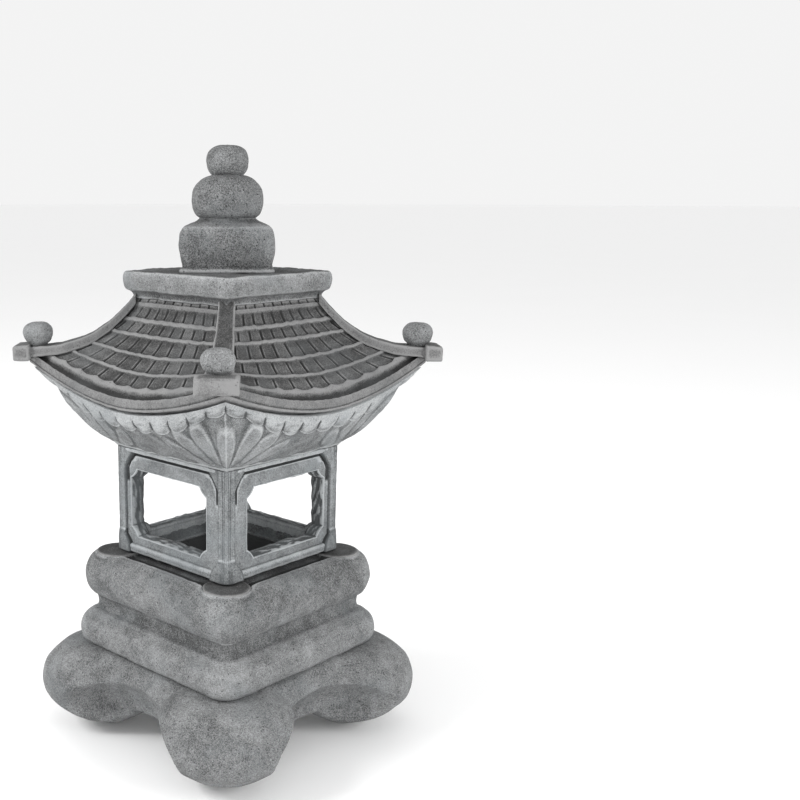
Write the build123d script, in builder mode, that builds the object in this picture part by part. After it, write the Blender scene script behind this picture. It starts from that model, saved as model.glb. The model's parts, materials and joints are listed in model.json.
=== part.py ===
from build123d import *
import os
from math import cos, pi, radians, sin, sqrt

# Garden stone lantern: a square pagoda form of stacked stones, 430 mm tall.
# Millimetres. +Z is up, the origin is on the ground under the centre, and the sides of the roof
# and of the fire box run along X and Y. Levels (..._top, ..._bottom) are heights above the ground.

# Foot, step and cushion: the three stones of the pedestal
foot_top = 68.5
step_top = 104.3
cushion_top = 139.0
lobe_reach = 93.0          # centre of a foot lobe, along the diagonal
lobe_radius = 48.0
lobe_height = 37.0         # level at which a lobe is widest
lobe_flat = 0.6            # the part of a lobe that is ground off flat
arch_height = 26.0         # underside of the block between two lobes
niche_half = 34.0
niche_reach = 105.0        # the niche is a barrel-shaped scoop, centred out beyond the side
niche_radius = 26.0
well_half = 38.0
hollow_half = 34.0
shelf_level = 58.0         # ledge that carries the candle plate
plate_thickness = 6.0
well_corner = 10.0
mouth_half = 46.3
mouth_depth = 6.0
disc_radius = 16.6
disc_thickness = 8.0

# Fire box
box_half = 57.5
wall = 12.5
sill_top = 146.5
lintel_bottom = 215.0
box_top = 219.0
spigot_half = 45.8
sill_ledge = 1.2
ring_corner = 1.5
panel_sink = 1.5
panel_thickness = 11.0
window_half_width = 40.0
window_half_height = 25.5
window_level = 178.0
window_shift = 4.0
window_notch = 9.5
post_bead = 2.2

# Roof
eave_half = 100.0          # outer face of the eave, in the middle of a side
eave_level = 264.0         # top of the eave, in the middle of a side
eave_lift = 21.0           # how much higher the eave is at a corner
lift_power = 1.8
eave_thickness = 6.0
gutter_inner = 93.0
roof_neck_half = 47.5
roof_neck_top = 326.0
tile_top = 321.0           # level of the highest tiles, at the neck
tile_sag = 6.0             # how far the tiles hang below a straight slope
course_count = 6
course_step = 1.3
roof_spigot_half = 44.4
roof_spigot_depth = 3.0
# Underside of the roof in the middle of a side: distance out and level
soffit_curve = ((98.5, 256.0), (96.0, 253.0), (86.0, 244.0), (75.0, 236.0), (64.0, 228.5), (58.0, 221.5))
# Crest of a hip ridge: distance out along the diagonal and level
ridge_crest = ((66.0, 328.0), (74.0, 319.3), (86.0, 308.6), (99.0, 300.4), (116.0, 295.0), (141.0, 292.0))
ridge_depth = 5.5
ridge_end = 153.0
ridge_end_top = 291.0
ridge_end_bottom = 282.0
ridge_narrow = 5.5
ridge_wide = 13.0
knob_reach = 135.5
knob_radius = 10.6
knob_height = 18.0
knob_level = 299.4         # level at which a knob is widest
cap_bottom = 326.0
cap_top = 345.1

# Finial and its rod
flange_half = 32.4
block_bottom = 347.5
block_top = 374.8
jewel_bottom = 381.0
jewel_top = 409.5
ball_top = 430.0
ball_radius = 14.6
ball_level = 419.0         # level at which the ball is widest
rod_radius = 3.0
rod_bottom = 333.0
rod_top = 420.0
loose_fit = 0.4

# Dowels and candle
dowel_radius = 3.0
dowel_length = 20.0
dowel_spacing = 118.0
hole_clearance = 0.1
candle_radius = 19.0
candle_height = 16.0
cup_wall = 0.6
wick_radius = 0.8
wick_length = 9.0

quarter_turns = (0, 90, 180, 270)
os.makedirs("parts", exist_ok=True)


def save(part, name):
    """Label a finished piece and write it."""
    part.label = name
    export_step(part, f"parts/{name}.step")


def side_plane(turn, distance):
    """Upright plane facing outwards: x runs along the side and y is the height."""
    outward = Vector(cos(radians(turn)), sin(radians(turn)), 0)
    along = Vector(-sin(radians(turn)), cos(radians(turn)), 0)
    return Plane(origin=outward * distance, x_dir=along, z_dir=outward)


def diagonal_plane(turn):
    """Upright plane through a corner of the lantern: x runs out to the corner and y is the height."""
    outward = Vector(cos(radians(turn + 45)), sin(radians(turn + 45)), 0)
    across = Vector(sin(radians(turn + 45)), -cos(radians(turn + 45)), 0)
    return Plane(origin=(0, 0, 0), x_dir=outward, z_dir=across)


def corner_place(turn, reach, level):
    """Horizontal plane at a distance out along a diagonal."""
    angle = radians(turn + 45)
    return Plane(origin=(reach * cos(angle), reach * sin(angle), level))


def turned_square(outline, corner):
    """Square stone whose sides follow an outline, with its corners turned about upright axes.

    outline(shift) draws the side's half profile, moved towards the centre by shift.
    """
    with BuildPart() as stone:
        for plane in (Plane.XZ, Plane.YZ):
            with BuildSketch(plane):
                with BuildLine():
                    outline(0)
                make_face()
                mirror(about=Plane.YZ)
            extrude(amount=corner, both=True)
        for x in (-corner, corner):
            for y in (-corner, corner):
                with BuildSketch(Plane(origin=(x, y, 0), x_dir=(1, 0, 0), z_dir=(0, -1, 0))):
                    with BuildLine():
                        outline(corner)
                    make_face()
                revolve(axis=Axis((x, y, 0), (0, 0, 1)))
    return stone.part


def cushion_outline(shift):
    bottom, bulge, top = (71.0, step_top), (81.1, 121.0), (70.0, cushion_top)
    lower = ThreePointArc((bottom[0] - shift, bottom[1]), (77.5 - shift, 108.5), (bulge[0] - shift, bulge[1]))
    upper = ThreePointArc(lower @ 1, (78.0 - shift, 134.0), (top[0] - shift, top[1]))
    Polyline(upper @ 1, (0, cushion_top), (0, step_top), lower @ 0)


def step_outline(shift):
    bulge, shoulder, neck = (84.2, 78.5), (71.8, 93.0), (71.0, step_top)
    lower = ThreePointArc((80.8 - shift, foot_top), (83.6 - shift, 73.0), (bulge[0] - shift, bulge[1]))
    upper = ThreePointArc(lower @ 1, (81.2 - shift, 88.5), (shoulder[0] - shift, shoulder[1]))
    collar = ThreePointArc(upper @ 1, (69.8 - shift, 99.0), (neck[0] - shift, neck[1]))
    Polyline(collar @ 1, (0, step_top), (0, foot_top), lower @ 0)


def foot_outline(shift):
    top, waist, hem = (79.8, foot_top), (88.0, 50.0), (84.0, arch_height)
    flare = ThreePointArc((hem[0] - shift, hem[1]), (88.0 - shift, 38.0), (waist[0] - shift, waist[1]))
    shoulder = ThreePointArc(flare @ 1, (85.5 - shift, 61.0), (top[0] - shift, top[1]))
    Polyline(shoulder @ 1, (0, foot_top), (0, arch_height), flare @ 0)


def cap_outline(shift):
    bottom, drip, bulge, top = (47.0, cap_bottom), (52.6, 331.9), (54.3, 339.0), (52.8, cap_top)
    cove = ThreePointArc((bottom[0] - shift, bottom[1]), (48.4 - shift, 330.4), (drip[0] - shift, drip[1]))
    face = ThreePointArc(cove @ 1, (bulge[0] - shift, bulge[1]), (top[0] - shift, top[1]))
    Polyline(face @ 1, (0, cap_top), (0, cap_bottom), cove @ 0)


def block_outline(shift):
    bottom, bulge, top = (30.6, 350.0), (33.6, 364.0), (31.0, block_top)
    rim = Line((flange_half - shift, cap_top), (flange_half - shift, block_bottom))
    bead = Line(rim @ 1, (bottom[0] - shift, bottom[1]))
    face = ThreePointArc(bead @ 1, (bulge[0] - shift, bulge[1]), (top[0] - shift, top[1]))
    Polyline(face @ 1, (0, block_top), (0, cap_top), rim @ 0)


def bun_outline(reach, level, radius, half_height):
    """Half outline of a flattened ball, with a small flat at each pole."""
    angles = [radians(angle) for angle in (-84, -60, -30, 0, 30, 60, 84)]
    side = Spline(*[(reach + radius * cos(angle), level + half_height * sin(angle)) for angle in angles])
    Polyline(side @ 1, (reach, (side @ 1).Y), (reach, (side @ 0).Y), side @ 0)


def square_prism(half, bottom, top, corner=well_corner):
    """Upright square prism with rounded corners, between two levels."""
    with BuildPart() as prism:
        with BuildSketch(Plane.XY.offset(bottom)):
            RectangleRounded(2 * half, 2 * half, corner)
        extrude(amount=top - bottom)
    return prism.part


def dowels(level, clearance=0.0):
    """Four upright dowels that cross a joint at this level."""
    with BuildPart() as pins:
        with Locations((0, 0, level)):
            with GridLocations(dowel_spacing, dowel_spacing, 2, 2):
                Cylinder(dowel_radius + clearance, dowel_length + 2 * clearance)
    return pins.part


# Foot stone: a waisted square block on four round lobes, hollow below, with an arch and a shallow
# niche between each pair of lobes
with BuildPart() as foot_stone:
    add(turned_square(foot_outline, 62.0))
    for turn in quarter_turns:
        lobe_plane = corner_place(turn, lobe_reach, 0)
        with BuildSketch(Plane(origin=lobe_plane.origin, x_dir=(1, 0, 0), z_dir=(0, -1, 0))):
            with BuildLine():
                bun_outline(0, lobe_height, lobe_radius, lobe_height + lobe_flat)
            make_face()
        revolve(axis=Axis(lobe_plane.origin, (0, 0, 1)))
    with BuildSketch(Plane.XY.offset(-lobe_flat)):
        Rectangle(400, 400)
    extrude(amount=lobe_flat, mode=Mode.SUBTRACT)
    with BuildSketch(Plane.XY.offset(foot_top)):
        Rectangle(400, 400)
    extrude(amount=40, mode=Mode.SUBTRACT)
    for turn in quarter_turns:
        side = side_plane(turn, niche_reach)
        level = Plane(origin=side.origin + Vector(0, 0, arch_height), x_dir=side.z_dir, z_dir=(0, 0, 1))
        with BuildSketch(level):
            with BuildLine():
                bun_outline(0, 0, niche_radius, niche_half)
            make_face()
        revolve(axis=Axis(level.origin, level.y_dir), mode=Mode.SUBTRACT)
    add(square_prism(hollow_half, 0, shelf_level), mode=Mode.SUBTRACT)
    add(square_prism(well_half, shelf_level, foot_top), mode=Mode.SUBTRACT)
    add(dowels(foot_top, hole_clearance), mode=Mode.SUBTRACT)
save(foot_stone.part, "foot_stone")

# Step stone: a rounded step under a hollow neck
with BuildPart() as step_stone:
    add(turned_square(step_outline, 68.0))
    add(square_prism(well_half, foot_top, step_top), mode=Mode.SUBTRACT)
    add(dowels(foot_top, hole_clearance), mode=Mode.SUBTRACT)
    add(dowels(step_top, hole_clearance), mode=Mode.SUBTRACT)
save(step_stone.part, "step_stone")

# Cushion stone: a swelling course with a flat round pad at each corner, where the posts stand, and
# a rebate round the mouth of the well, where the fire box sits
with BuildPart() as cushion_stone:
    add(turned_square(cushion_outline, 62.0))
    for turn in quarter_turns:
        with BuildSketch(corner_place(turn, box_half * sqrt(2), cushion_top - disc_thickness)):
            Circle(disc_radius)
        extrude(amount=disc_thickness)
    add(square_prism(well_half, step_top, cushion_top), mode=Mode.SUBTRACT)
    add(square_prism(mouth_half, cushion_top - mouth_depth, cushion_top, 2.0), mode=Mode.SUBTRACT)
    add(dowels(step_top, hole_clearance), mode=Mode.SUBTRACT)
save(cushion_stone.part, "cushion_stone")

with BuildPart() as base_dowels:
    add(dowels(foot_top))
    add(dowels(step_top))
save(base_dowels.part, "base_dowels")

# Candle plate: closes the bottom of the well and carries the candle
with BuildPart() as candle_plate:
    with BuildSketch(Plane.XY.offset(shelf_level)):
        RectangleRounded(2 * well_half - 0.6, 2 * well_half - 0.6, well_corner)
    extrude(amount=plate_thickness)
save(candle_plate.part, "candle_plate")

# Tea light: cup, wax and wick
candle_level = shelf_level + plate_thickness
with BuildPart() as candle_cup:
    with BuildSketch(Plane.XY.offset(candle_level)):
        Circle(candle_radius)
    extrude(amount=candle_height)
    with BuildSketch(Plane.XY.offset(candle_level + cup_wall)):
        Circle(candle_radius - cup_wall)
    extrude(amount=candle_height, mode=Mode.SUBTRACT)
save(candle_cup.part, "candle_cup")

with BuildPart() as candle_wax:
    with BuildSketch(Plane.XY.offset(candle_level + cup_wall)):
        Circle(candle_radius - cup_wall - 0.05)
    extrude(amount=candle_height - 3)
    with BuildSketch(Plane.XY.offset(candle_level + cup_wall)):
        Circle(wick_radius + 0.02)
    extrude(amount=candle_height, mode=Mode.SUBTRACT)
save(candle_wax.part, "candle_wax")

with BuildPart() as candle_wick:
    with BuildSketch(Plane.XY.offset(candle_level + cup_wall)):
        Circle(wick_radius)
    extrude(amount=candle_height - 3 + wick_length)
save(candle_wick.part, "candle_wick")

# Fire box: sill and lintel rings, four corner posts and four window panels
box_inner = box_half - wall
with BuildPart() as sill_ring:
    add(square_prism(box_half + sill_ledge, cushion_top, sill_top, ring_corner))
    fillet(faces().sort_by(Axis.Z)[-1].edges(), sill_ledge)
    add(square_prism(spigot_half, cushion_top - mouth_depth + 0.6, cushion_top, ring_corner))
    add(square_prism(box_inner, cushion_top, sill_top, ring_corner), mode=Mode.SUBTRACT)
    add(square_prism(box_inner - 4.0, cushion_top - mouth_depth, cushion_top, ring_corner), mode=Mode.SUBTRACT)
save(sill_ring.part, "sill_ring")

with BuildPart() as lintel_ring:
    add(square_prism(box_half, lintel_bottom, box_top, ring_corner))
    add(square_prism(box_inner, lintel_bottom, box_top, ring_corner), mode=Mode.SUBTRACT)
save(lintel_ring.part, "lintel_ring")

for number, turn in enumerate(quarter_turns, start=1):
    with BuildPart() as corner_post:
        with BuildSketch(corner_place(turn, (box_half - wall / 2) * sqrt(2), sill_top)):
            Rectangle(wall, wall)
        extrude(amount=lintel_bottom - sill_top)
        upright_edges = edges().filter_by(Axis.Z)
        fillet(upright_edges.sort_by_distance((0, 0, sill_top))[-1], post_bead)
    save(corner_post.part, f"corner_post_{number}")

for number, turn in enumerate(quarter_turns, start=1):
    shift = window_shift if turn in (0, 180) else -window_shift
    panel_height = lintel_bottom - sill_top
    with BuildPart() as window_panel:
        with BuildSketch(side_plane(turn, box_half - panel_sink)):
            with Locations((0, sill_top + panel_height / 2)):
                Rectangle(2 * (box_half - wall), panel_height)
            with BuildSketch(mode=Mode.SUBTRACT):
                with Locations((shift, window_level)):
                    Rectangle(2 * window_half_width, 2 * window_half_height)
                    with GridLocations(2 * window_half_width, 2 * window_half_height, 2, 2):
                        Circle(window_notch, mode=Mode.SUBTRACT)
        extrude(amount=-panel_thickness)
    save(window_panel.part, f"window_panel_{number}")


# Roof. A side's surfaces are drawn as upright sections, one every few centimetres along the eave,
# and each section is the middle one with its outer end lifted.
def lifted(points, along, start):
    """The points of a section, raised from the distance start out, most at the corners."""
    rise = eave_lift * (abs(along) / eave_half) ** lift_power
    return [(out, level + rise * max(0.0, (out - start) / (eave_half - start))) for out, level in points]


def tile_level(out):
    """Height of the tiles in the middle of a side, at a distance out from the centre."""
    reach = (out - roof_neck_half) / (eave_half - roof_neck_half)
    return tile_top + (eave_level - tile_top) * reach - tile_sag * sin(pi * reach ** 0.6)


def side_wedge(section):
    """One side of the roof, cut at the two hips: section(along) gives the outline at a station."""
    stations = 8
    half_length = eave_half + 1.5
    with BuildPart() as wedge:
        for station in range(stations + 1):
            along = half_length * (2 * station / stations - 1)
            with BuildSketch(Plane(origin=(0, along, 0), x_dir=(1, 0, 0), z_dir=(0, -1, 0))):
                with BuildLine():
                    Polyline(*section(along), close=True)
                make_face()
        loft()
        for across in (-1, 1):
            split(bisect_by=Plane(origin=(0, 0, 0), z_dir=(1, across, 0)), keep=Keep.TOP)
    return wedge.part


def four_sides(section):
    """The four sides of a roof layer, joined at the hips."""
    wedge = side_wedge(section)
    with BuildPart() as layer:
        for turn in quarter_turns:
            add(wedge, rotation=(0, 0, turn))
    return layer.part


def roof_section(along):
    """A side of the roof stone: tile courses, gutter and eave."""
    run = (gutter_inner - roof_neck_half) / course_count
    points = [(0, eave_level - eave_thickness), (0, roof_neck_top), (roof_neck_half, roof_neck_top)]
    for course in range(course_count):
        upper = roof_neck_half + course * run
        lower = upper + run
        points.append((upper + 0.2, tile_level(upper)))
        points.append((lower, tile_level(lower) + course_step))
    points.append((gutter_inner + 0.4, tile_level(gutter_inner) - 2.0))
    points.append((eave_half - 2.5, eave_level - 2.0))
    points.append((eave_half - 1.5, eave_level))
    points.append((eave_half, eave_level - 1.0))
    points.append((eave_half, eave_level - eave_thickness))
    return lifted(points, along, roof_neck_half)


def soffit_section(along):
    """A side of the soffit stone: a curve from the top of the fire box out to the eave."""
    interface = eave_level - eave_thickness
    foot = (soffit_curve[-1][0], box_top)
    points = [(0, box_top), (0, interface), (eave_half, interface), *soffit_curve, foot]
    return lifted(points, along, foot[0])


# Hip ridges, each ending in a wider block that turns up slightly
ridge_start = ridge_crest[0][0]
block_start = ridge_crest[-1][0]
hip_ridges = []
for number, turn in enumerate(quarter_turns, start=1):
    with BuildPart() as hip_ridge:
        with BuildSketch(diagonal_plane(turn)):
            with BuildLine():
                crest = Spline(*ridge_crest)
                base_points = [(out, level - ridge_depth) for out, level in ridge_crest[-2::-1]]
                tail = Polyline(
                    crest @ 1,
                    (ridge_end, ridge_end_top),
                    (ridge_end, ridge_end_bottom),
                    (block_start, ridge_end_bottom - 1.0),
                )
                base_line = Spline(tail @ 1, *base_points)
                Line(base_line @ 1, crest @ 0)
            make_face()
        extrude(amount=2 * ridge_wide, both=True)
        with BuildSketch(Plane(origin=(0, 0, eave_level), x_dir=diagonal_plane(turn).x_dir, z_dir=(0, 0, 1))):
            with BuildLine():
                Polyline(
                    (ridge_start, -ridge_narrow),
                    (block_start, 3.0 - ridge_wide),
                    (block_start, -ridge_wide),
                    (ridge_end, -ridge_wide),
                    (ridge_end, ridge_wide),
                    (block_start, ridge_wide),
                    (block_start, ridge_wide - 3.0),
                    (ridge_start, ridge_narrow),
                    close=True,
                )
            make_face()
        extrude(amount=80, mode=Mode.INTERSECT)
    hip_ridges.append(hip_ridge.part)
    save(hip_ridge.part, f"hip_ridge_{number}")

# Roof stone: four tiled sides meeting at the hips, with a gutter behind the eave
with BuildPart() as roof_stone:
    add(four_sides(roof_section))
    for ridge in hip_ridges:
        add(ridge, mode=Mode.SUBTRACT)
save(roof_stone.part, "roof_stone")

# Soffit stone: the flaring underside of the roof, with a low spigot that drops into the lintel ring
with BuildPart() as soffit_stone:
    add(four_sides(soffit_section))
    for ridge in hip_ridges:
        add(ridge, mode=Mode.SUBTRACT)
    with BuildSketch(Plane.XY.offset(box_top - roof_spigot_depth)):
        RectangleRounded(2 * roof_spigot_half, 2 * roof_spigot_half, ring_corner)
    extrude(amount=roof_spigot_depth + 2.0)
save(soffit_stone.part, "soffit_stone")

for number, turn in enumerate(quarter_turns, start=1):
    with BuildPart() as ridge_knob:
        with BuildSketch(diagonal_plane(turn)):
            with BuildLine():
                bun_outline(knob_reach, knob_level, knob_radius, knob_height / 2)
            make_face()
        crown = Axis(corner_place(turn, knob_reach, 0).origin, (0, 0, 1))
        revolve(axis=crown)
        add(hip_ridges[number - 1], mode=Mode.SUBTRACT)
    save(ridge_knob.part, f"ridge_knob_{number}")

# Cap slab, with a socket for the finial's rod
with BuildPart() as cap_slab:
    add(turned_square(cap_outline, 46.0))
    for ridge in hip_ridges:
        add(ridge, mode=Mode.SUBTRACT)
    with Locations((0, 0, cap_top)):
        Hole(rod_radius + loose_fit, cap_top - rod_bottom + 1.0)
save(cap_slab.part, "cap_slab")

# Finial: a block turned an eighth of a turn, a jewel and a ball, threaded on a rod
with BuildPart() as finial_block:
    add(turned_square(block_outline, 26.0), rotation=(0, 0, 45))
    with BuildSketch(Plane.XZ):
        with BuildLine():
            slope = ThreePointArc((30.0, block_top), (24.5, 377.0), (19.5, jewel_bottom))
            Polyline(slope @ 1, (0, jewel_bottom), (0, block_top - 1), (30.0, block_top - 1), slope @ 0)
        make_face()
    revolve(axis=Axis.Z)
    with Locations((0, 0, jewel_bottom)):
        Hole(rod_radius + 0.05)
save(finial_block.part, "finial_block")

with BuildPart() as finial_jewel:
    with BuildSketch(Plane.XZ):
        with BuildLine():
            belly = ThreePointArc((19.5, jewel_bottom), (24.4, 388.0), (24.6, 396.0))
            shoulder = ThreePointArc(belly @ 1, (20.5, 404.6), (11.4, jewel_top))
            Polyline(shoulder @ 1, (0, jewel_top), (0, jewel_bottom), belly @ 0)
        make_face()
    revolve(axis=Axis.Z)
    with Locations((0, 0, jewel_top)):
        Hole(rod_radius + 0.05)
save(finial_jewel.part, "finial_jewel")

with BuildPart() as finial_ball:
    with BuildSketch(Plane.XZ):
        with BuildLine():
            bun_outline(0, ball_level, ball_radius, ball_top - ball_level)
        make_face()
    revolve(axis=Axis.Z)
    split(bisect_by=Plane.XY.offset(jewel_top), keep=Keep.TOP)
    with BuildSketch(Plane.XY.offset(jewel_top)):
        Circle(rod_radius + 0.05)
    extrude(amount=rod_top - jewel_top + 0.2, mode=Mode.SUBTRACT)
save(finial_ball.part, "finial_ball")

with BuildPart() as finial_rod:
    with BuildSketch(Plane.XY.offset(rod_bottom)):
        Circle(rod_radius)
    extrude(amount=rod_top - rod_bottom)
save(finial_rod.part, "finial_rod")
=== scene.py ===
import json
import math

import bpy
import numpy as np
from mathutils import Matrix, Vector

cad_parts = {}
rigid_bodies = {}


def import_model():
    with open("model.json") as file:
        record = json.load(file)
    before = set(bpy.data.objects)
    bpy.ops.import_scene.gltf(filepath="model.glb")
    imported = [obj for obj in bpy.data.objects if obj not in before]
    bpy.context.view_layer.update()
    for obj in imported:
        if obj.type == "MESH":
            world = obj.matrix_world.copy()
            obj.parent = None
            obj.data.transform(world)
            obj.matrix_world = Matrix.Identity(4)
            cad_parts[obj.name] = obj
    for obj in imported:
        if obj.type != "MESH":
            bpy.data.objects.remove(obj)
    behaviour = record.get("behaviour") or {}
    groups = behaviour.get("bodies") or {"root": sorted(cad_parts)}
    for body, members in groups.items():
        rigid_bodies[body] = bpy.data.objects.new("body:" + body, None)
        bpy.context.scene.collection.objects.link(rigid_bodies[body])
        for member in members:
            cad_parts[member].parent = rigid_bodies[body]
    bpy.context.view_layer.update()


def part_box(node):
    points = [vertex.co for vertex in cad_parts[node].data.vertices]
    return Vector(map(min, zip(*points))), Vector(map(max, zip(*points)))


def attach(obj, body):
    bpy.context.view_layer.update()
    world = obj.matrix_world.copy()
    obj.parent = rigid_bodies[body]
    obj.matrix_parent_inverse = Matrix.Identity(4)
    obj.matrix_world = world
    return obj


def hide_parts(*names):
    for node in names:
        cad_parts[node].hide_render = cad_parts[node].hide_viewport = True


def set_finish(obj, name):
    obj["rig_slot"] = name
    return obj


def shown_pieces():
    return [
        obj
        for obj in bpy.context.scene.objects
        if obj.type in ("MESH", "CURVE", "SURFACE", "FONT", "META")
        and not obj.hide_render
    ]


for spare in list(bpy.data.objects):
    bpy.data.objects.remove(spare)
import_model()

# Lengths are worked out in millimetres, as in the CAD model, and written to meshes in metres.
MM = 0.001
TURNS = (0, 90, 180, 270)


def level(node, end):
    """Lowest (0) or highest (1) level of a CAD node, in millimetres."""
    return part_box(node)[end][2] / MM


GROUND = level("foot_stone", 0)
FOOT_TOP = level("foot_stone", 1)
STEP_TOP = level("cushion_stone", 0)
CUSHION_TOP = level("cushion_stone", 1)
BOX_TOP = level("lintel_ring", 1)
CAP_TOP = level("cap_slab", 1)
BLOCK_TOP = level("finial_jewel", 0)
JEWEL_TOP = level("finial_jewel", 1)
BALL_TOP = level("finial_ball", 1)
BOX_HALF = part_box("lintel_ring")[1][0] / MM
EAVE_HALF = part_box("roof_stone")[1][0] / MM


# ---------------------------------------------------------------- noise

def lattice(cell, seed):
    """A pseudo-random value from 0 to 1 for each whole-number cell."""
    with np.errstate(over="ignore"):
        mixed = cell[..., 0] * 73856093 ^ cell[..., 1] * 19349663 ^ cell[..., 2] * 83492791 ^ seed * 2654435
        mixed = (mixed ^ (mixed >> 13)) * 1274126177
        mixed = mixed ^ (mixed >> 16)
    return (mixed & 0xFFFFFF) / float(0xFFFFFF)


def value_noise(points, size, seed):
    """Smooth noise from -1 to 1 with features of the given size."""
    scaled = points / size
    cell = np.floor(scaled).astype(np.int64)
    part = scaled - cell
    part = part * part * (3 - 2 * part)
    total = np.zeros(points.shape[:-1])
    for corner in range(8):
        offset = np.array([corner & 1, corner >> 1 & 1, corner >> 2 & 1])
        weight = np.prod(np.where(offset, part, 1 - part), axis=-1)
        total += weight * lattice(cell + offset, seed)
    return total * 2 - 1


def rough_noise(points, size, seed, octaves=3):
    """Noise with finer and weaker layers added."""
    return sum(value_noise(points, size / 2 ** k, seed + k) / 2 ** k for k in range(octaves))


def smooth_step(value, start, end):
    """0 before start, 1 after end, and a smooth rise between them."""
    part = np.clip((value - start) / (end - start), 0, 1)
    return part * part * (3 - 2 * part)


def soft_max(a, b, blend):
    """The larger of two values, with the crossing rounded off."""
    return 0.5 * (a + b + np.sqrt((a - b) ** 2 + blend ** 2))


# ---------------------------------------------------------------- meshes

def grid_faces(rows, columns, closed):
    """Quads of a grid of rows by columns, its columns joined in a ring if closed."""
    across = columns if closed else columns - 1
    i, j = np.meshgrid(np.arange(rows - 1), np.arange(across), indexing="ij")
    k = (j + 1) % columns
    quads = [i * columns + j, i * columns + k, (i + 1) * columns + k, (i + 1) * columns + j]
    return np.stack(quads, -1).reshape(-1, 4).tolist()


def closing_faces(rows, columns):
    """Quads that join the last row of a ring grid to its first row."""
    last = (rows - 1) * columns
    return [[last + j, last + (j + 1) % columns, (j + 1) % columns, j] for j in range(columns)]


def end_caps(rows, columns):
    """Faces that close the first and the last row of a ring grid."""
    last = (rows - 1) * columns
    return [list(range(columns))[::-1], [last + j for j in range(columns)]]


def neighbour_mean(points, edges):
    """For each point, the mean of the points that it shares an edge with."""
    total = np.zeros_like(points)
    count = np.zeros(len(points))
    for a, b in ((0, 1), (1, 0)):
        np.add.at(total, edges[:, a], points[edges[:, b]])
        np.add.at(count, edges[:, a], 1)
    return total / np.maximum(count, 1)[:, None]


def mesh_arrays(mesh):
    """Points in millimetres, normals and edges of a mesh."""
    points = np.empty(len(mesh.vertices) * 3)
    mesh.vertices.foreach_get("co", points)
    normals = np.empty(len(mesh.vertices) * 3)
    mesh.vertices.foreach_get("normal", normals)
    edges = np.empty(len(mesh.edges) * 2, dtype=np.int64)
    mesh.edges.foreach_get("vertices", edges)
    return points.reshape(-1, 3) / MM, normals.reshape(-1, 3), edges.reshape(-1, 2)


def store(mesh, name, values):
    """Keep one number for each vertex, for the material to read."""
    layer = mesh.attributes.get(name) or mesh.attributes.new(name, "FLOAT", "POINT")
    layer.data.foreach_set("value", np.asarray(values, dtype=np.float32))


def weather(obj, depth=0.25, size=9.0, seed=1, chips=0.0):
    """Rough cut surface and worn arrises, with the wear kept for the material."""
    mesh = obj.data
    points, normals, edges = mesh_arrays(mesh)
    blurred = points
    for _ in range(4):
        blurred = neighbour_mean(blurred, edges)
    edge_wear = np.einsum("ij,ij->i", points - blurred, normals)
    moved = points + normals * (depth * rough_noise(points, size, seed, 4))[:, None]
    if chips:
        broken = smooth_step(value_noise(points, size * 0.9, seed + 40), 0.25, 0.8) * np.clip(edge_wear, 0, 1)
        moved -= normals * (chips * broken)[:, None]
    mesh.vertices.foreach_set("co", (moved * MM).ravel())
    store(mesh, "wear", edge_wear)
    mesh.update()


def solid_object(name, points, faces, body, nodes, slot, light=None):
    """A piece from points in millimetres, riding on a body and standing for its CAD nodes."""
    mesh = bpy.data.meshes.new(name)
    mesh.from_pydata((np.asarray(points) * MM).tolist(), [], [list(map(int, face)) for face in faces])
    mesh.validate()
    mesh.shade_smooth()
    if light is not None:
        store(mesh, "light", light)
    obj = bpy.data.objects.new(name, mesh)
    bpy.context.scene.collection.objects.link(obj)
    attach(obj, body)
    if nodes:
        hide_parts(*nodes)
    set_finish(obj, slot)
    return obj


def fair_profile(points, step=0.8, rounding=2):
    """A profile's corner points, filled in at an even step, with its corners eased."""
    points = np.asarray(points, dtype=float)
    lengths = np.hypot(*np.diff(points, axis=0).T)
    place = np.concatenate([[0], np.cumsum(lengths)])
    stations = np.linspace(0, place[-1], int(place[-1] / step) + 1)
    filled = np.stack([np.interp(stations, place, points[:, k]) for k in range(2)], -1)
    for _ in range(rounding):
        filled[1:-1] = 0.25 * filled[:-2] + 0.5 * filled[1:-1] + 0.25 * filled[2:]
    return filled


def curve_through(points, step=0.8):
    """A smooth curve through points, filled in at about an even step (Catmull-Rom)."""
    points = np.asarray(points, dtype=float)
    padded = np.vstack([2 * points[0] - points[1], points, 2 * points[-1] - points[-2]])
    run = []
    for a, b, c, d in zip(padded[:-3], padded[1:-2], padded[2:-1], padded[3:]):
        count = max(2, int(np.linalg.norm(c - b) / step))
        t = np.arange(count)[:, None] / count
        square = (2 * a - 5 * b + 4 * c - d) * t ** 2
        cube = (3 * b - a - 3 * c + d) * t ** 3
        run.append(0.5 * (2 * b + (c - a) * t + square + cube))
    return np.vstack(run + [points[-1:]])


def square_path(corner, straight, bend):
    """Points of a square of the given half side, each with its outward direction, turning at corners."""
    base, out = [], []
    for turn in TURNS:
        angle = math.radians(turn)
        outward = np.array([math.cos(angle), math.sin(angle)])
        along = np.array([-math.sin(angle), math.cos(angle)])
        for place in np.linspace(-corner, corner, straight, endpoint=False):
            base.append(outward * corner + along * place)
            out.append(outward)
        for swing in np.linspace(0, math.pi / 2, bend, endpoint=False):
            base.append(outward * corner + along * corner)
            out.append(outward * math.cos(swing) + along * math.sin(swing))
    return np.array(base), np.array(out)


def square_solid(profile, corner, straight=90, bend=30, hollow=False):
    """Square stone swept from a profile of (half side, level), either hollow or closed at both ends."""
    base, out = square_path(corner, straight, bend)
    rows = []
    for half, height in profile:
        flat = base + out * (half - corner) if half >= corner else base * half / corner
        rows.append(np.column_stack([flat, np.full(len(flat), height)]))
    close = closing_faces if hollow else end_caps
    faces = grid_faces(len(rows), len(base), True) + close(len(rows), len(base))
    return np.concatenate(rows), faces


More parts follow.
